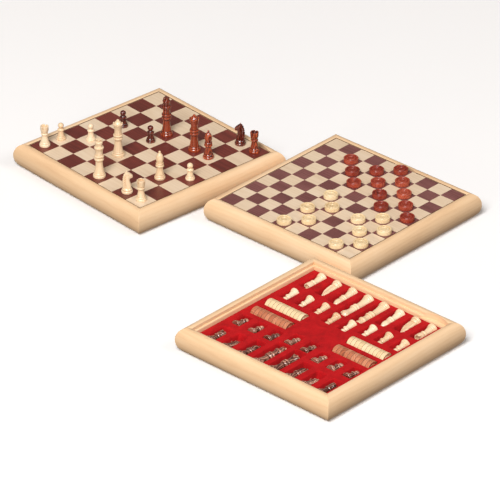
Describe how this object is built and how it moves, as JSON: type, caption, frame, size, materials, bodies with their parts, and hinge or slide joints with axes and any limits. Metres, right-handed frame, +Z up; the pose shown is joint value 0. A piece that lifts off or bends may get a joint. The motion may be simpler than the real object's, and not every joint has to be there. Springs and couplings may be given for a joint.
{
  "type": "games compendium box",
  "caption": "Wooden games compendium set: bullnose framed square cases with a lift-out chess board, a lift-out draughts board, and a red flocked insert holding chessmen and draughtsmen.",
  "frame": {"origin": "centre of the ground footprint of the whole set, on the surface the cases stand on", "axes": "+Z up; +X from the left rails to the right rails of the tray and draughts cases, +Y from their front rails to their back rails; the chess case is turned 5.7 degrees clockwise seen from above"},
  "size_m": [0.648, 0.9252, 0.111],
  "materials": {
    "rail_wood": "satin clear lacquer on pale beech",
    "panel_wood": "bare birch plywood",
    "tongue_wood": "bare beech",
    "core_board": "bare fibreboard edge",
    "light_veneer": "satin maple veneer",
    "dark_veneer": "semi-gloss dark stained veneer",
    "red_flock": "matt red flock on formed sheet",
    "light_men": "satin boxwood",
    "dark_men": "gloss red-brown stained hardwood",
    "light_discs": "satin boxwood",
    "dark_discs": "satin red-brown stained hardwood"
  },
  "bodies": {
    "tray_case": {"tray_rail_right": "rail_wood", "tray_rail_back": "rail_wood", "tray_rail_left": "rail_wood", "tray_rail_front": "rail_wood", "tray_mitre_tongues": "tongue_wood", "tray_bottom_panel": "panel_wood", "tray_insert": "red_flock"},
    "draughts_case": {"draughts_rail_right": "rail_wood", "draughts_rail_back": "rail_wood", "draughts_rail_left": "rail_wood", "draughts_rail_front": "rail_wood", "draughts_mitre_tongues": "tongue_wood", "draughts_bottom_panel": "panel_wood", "draughts_insert": "red_flock"},
    "chess_case": {"chess_rail_right": "rail_wood", "chess_rail_back": "rail_wood", "chess_rail_left": "rail_wood", "chess_rail_front": "rail_wood", "chess_mitre_tongues": "tongue_wood", "chess_bottom_panel": "panel_wood", "chess_insert": "red_flock"},
    "draughts_board": {"draughts_board_core": "core_board", "draughts_board_light_squares": "light_veneer", "draughts_board_dark_squares": "dark_veneer"},
    "chess_board": {"chess_board_core": "core_board", "chess_board_light_squares": "light_veneer", "chess_board_dark_squares": "dark_veneer"},
    "light_king": {"light_king": "light_men"},
    "light_queen": {"light_queen": "light_men"},
    "light_bishop": {"light_bishop": "light_men"},
    "light_knight": {"light_knight": "light_men"},
    "light_rooks": {"light_rooks": "light_men"},
    "light_pawns": {"light_pawns": "light_men"},
    "dark_king": {"dark_king": "dark_men"},
    "dark_queen": {"dark_queen": "dark_men"},
    "dark_bishop": {"dark_bishop": "dark_men"},
    "dark_knight": {"dark_knight": "dark_men"},
    "dark_rook": {"dark_rook": "dark_men"},
    "dark_pawns": {"dark_pawns": "dark_men"},
    "light_draughtsmen": {"light_draughtsmen": "light_discs"},
    "dark_draughtsmen": {"dark_draughtsmen": "dark_discs"},
    "stored_dark_king": {"stored_dark_king": "dark_men"},
    "stored_dark_queen": {"stored_dark_queen": "dark_men"},
    "stored_dark_bishops": {"stored_dark_bishops": "dark_men"},
    "stored_dark_knights": {"stored_dark_knights": "dark_men"},
    "stored_dark_rooks": {"stored_dark_rooks": "dark_men"},
    "stored_dark_pawns": {"stored_dark_pawns": "dark_men"},
    "stored_dark_draughtsmen_back": {"stored_dark_draughtsmen_back": "dark_discs"},
    "stored_dark_draughtsmen_front": {"stored_dark_draughtsmen_front": "dark_discs"},
    "stored_light_king": {"stored_light_king": "light_men"},
    "stored_light_queen": {"stored_light_queen": "light_men"},
    "stored_light_bishops": {"stored_light_bishops": "light_men"},
    "stored_light_knights": {"stored_light_knights": "light_men"},
    "stored_light_rooks": {"stored_light_rooks": "light_men"},
    "stored_light_pawns": {"stored_light_pawns": "light_men"},
    "stored_light_draughtsmen_back": {"stored_light_draughtsmen_back": "light_discs"},
    "stored_light_draughtsmen_front": {"stored_light_draughtsmen_front": "light_discs"}
  },
  "joints": [
    {"name": "chess_case_lift", "type": "slide", "parent": "tray_case", "child": "chess_case", "axis": [0, 0, 1], "range_m": [0, 0.1]},
    {"name": "draughts_case_lift", "type": "slide", "parent": "tray_case", "child": "draughts_case", "axis": [0, 0, 1], "range_m": [0, 0.1]},
    {"name": "chess_board_lift", "type": "slide", "parent": "chess_case", "child": "chess_board", "axis": [0, 0, 1], "range_m": [0, 0.08]},
    {"name": "draughts_board_lift", "type": "slide", "parent": "draughts_case", "child": "draughts_board", "axis": [0, 0, 1], "range_m": [0, 0.08]},
    {"name": "light_king_lift", "type": "slide", "parent": "chess_board", "child": "light_king", "axis": [0, 0, 1], "range_m": [0, 0.1]},
    {"name": "light_queen_lift", "type": "slide", "parent": "chess_board", "child": "light_queen", "axis": [0, 0, 1], "range_m": [0, 0.1]},
    {"name": "light_bishop_lift", "type": "slide", "parent": "chess_board", "child": "light_bishop", "axis": [0, 0, 1], "range_m": [0, 0.08]},
    {"name": "light_knight_lift", "type": "slide", "parent": "chess_board", "child": "light_knight", "axis": [0, 0, 1], "range_m": [0, 0.08]},
    {"name": "light_rooks_lift", "type": "slide", "parent": "chess_board", "child": "light_rooks", "axis": [0, 0, 1], "range_m": [0, 0.08]},
    {"name": "light_pawns_lift", "type": "slide", "parent": "chess_board", "child": "light_pawns", "axis": [0, 0, 1], "range_m": [0, 0.08]},
    {"name": "dark_king_lift", "type": "slide", "parent": "chess_board", "child": "dark_king", "axis": [0, 0, 1], "range_m": [0, 0.1]},
    {"name": "dark_queen_lift", "type": "slide", "parent": "chess_board", "child": "dark_queen", "axis": [0, 0, 1], "range_m": [0, 0.1]},
    {"name": "dark_bishop_lift", "type": "slide", "parent": "chess_board", "child": "dark_bishop", "axis": [0, 0, 1], "range_m": [0, 0.08]},
    {"name": "dark_knight_lift", "type": "slide", "parent": "chess_board", "child": "dark_knight", "axis": [0, 0, 1], "range_m": [0, 0.08]},
    {"name": "dark_rook_lift", "type": "slide", "parent": "chess_board", "child": "dark_rook", "axis": [0, 0, 1], "range_m": [0, 0.08]},
    {"name": "dark_pawns_lift", "type": "slide", "parent": "chess_board", "child": "dark_pawns", "axis": [0, 0, 1], "range_m": [0, 0.08]},
    {"name": "light_draughtsmen_lift", "type": "slide", "parent": "draughts_board", "child": "light_draughtsmen", "axis": [0, 0, 1], "range_m": [0, 0.05]},
    {"name": "dark_draughtsmen_lift", "type": "slide", "parent": "draughts_board", "child": "dark_draughtsmen", "axis": [0, 0, 1], "range_m": [0, 0.05]},
    {"name": "stored_dark_king_lift", "type": "slide", "parent": "tray_case", "child": "stored_dark_king", "axis": [0, 0, 1], "range_m": [0, 0.08]},
    {"name": "stored_dark_queen_lift", "type": "slide", "parent": "tray_case", "child": "stored_dark_queen", "axis": [0, 0, 1], "range_m": [0, 0.08]},
    {"name": "stored_dark_bishops_lift", "type": "slide", "parent": "tray_case", "child": "stored_dark_bishops", "axis": [0, 0, 1], "range_m": [0, 0.08]},
    {"name": "stored_dark_knights_lift", "type": "slide", "parent": "tray_case", "child": "stored_dark_knights", "axis": [0, 0, 1], "range_m": [0, 0.08]},
    {"name": "stored_dark_rooks_lift", "type": "slide", "parent": "tray_case", "child": "stored_dark_rooks", "axis": [0, 0, 1], "range_m": [0, 0.08]},
    {"name": "stored_dark_pawns_lift", "type": "slide", "parent": "tray_case", "child": "stored_dark_pawns", "axis": [0, 0, 1], "range_m": [0, 0.08]},
    {"name": "stored_dark_draughtsmen_back_lift", "type": "slide", "parent": "tray_case", "child": "stored_dark_draughtsmen_back", "axis": [0, 0, 1], "range_m": [0, 0.08]},
    {"name": "stored_dark_draughtsmen_front_lift", "type": "slide", "parent": "tray_case", "child": "stored_dark_draughtsmen_front", "axis": [0, 0, 1], "range_m": [0, 0.08]},
    {"name": "stored_light_king_lift", "type": "slide", "parent": "tray_case", "child": "stored_light_king", "axis": [0, 0, 1], "range_m": [0, 0.08]},
    {"name": "stored_light_queen_lift", "type": "slide", "parent": "tray_case", "child": "stored_light_queen", "axis": [0, 0, 1], "range_m": [0, 0.08]},
    {"name": "stored_light_bishops_lift", "type": "slide", "parent": "tray_case", "child": "stored_light_bishops", "axis": [0, 0, 1], "range_m": [0, 0.08]},
    {"name": "stored_light_knights_lift", "type": "slide", "parent": "tray_case", "child": "stored_light_knights", "axis": [0, 0, 1], "range_m": [0, 0.08]},
    {"name": "stored_light_rooks_lift", "type": "slide", "parent": "tray_case", "child": "stored_light_rooks", "axis": [0, 0, 1], "range_m": [0, 0.08]},
    {"name": "stored_light_pawns_lift", "type": "slide", "parent": "tray_case", "child": "stored_light_pawns", "axis": [0, 0, 1], "range_m": [0, 0.08]},
    {"name": "stored_light_draughtsmen_back_lift", "type": "slide", "parent": "tray_case", "child": "stored_light_draughtsmen_back", "axis": [0, 0, 1], "range_m": [0, 0.08]},
    {"name": "stored_light_draughtsmen_front_lift", "type": "slide", "parent": "tray_case", "child": "stored_light_draughtsmen_front", "axis": [0, 0, 1], "range_m": [0, 0.08]}
  ]
}
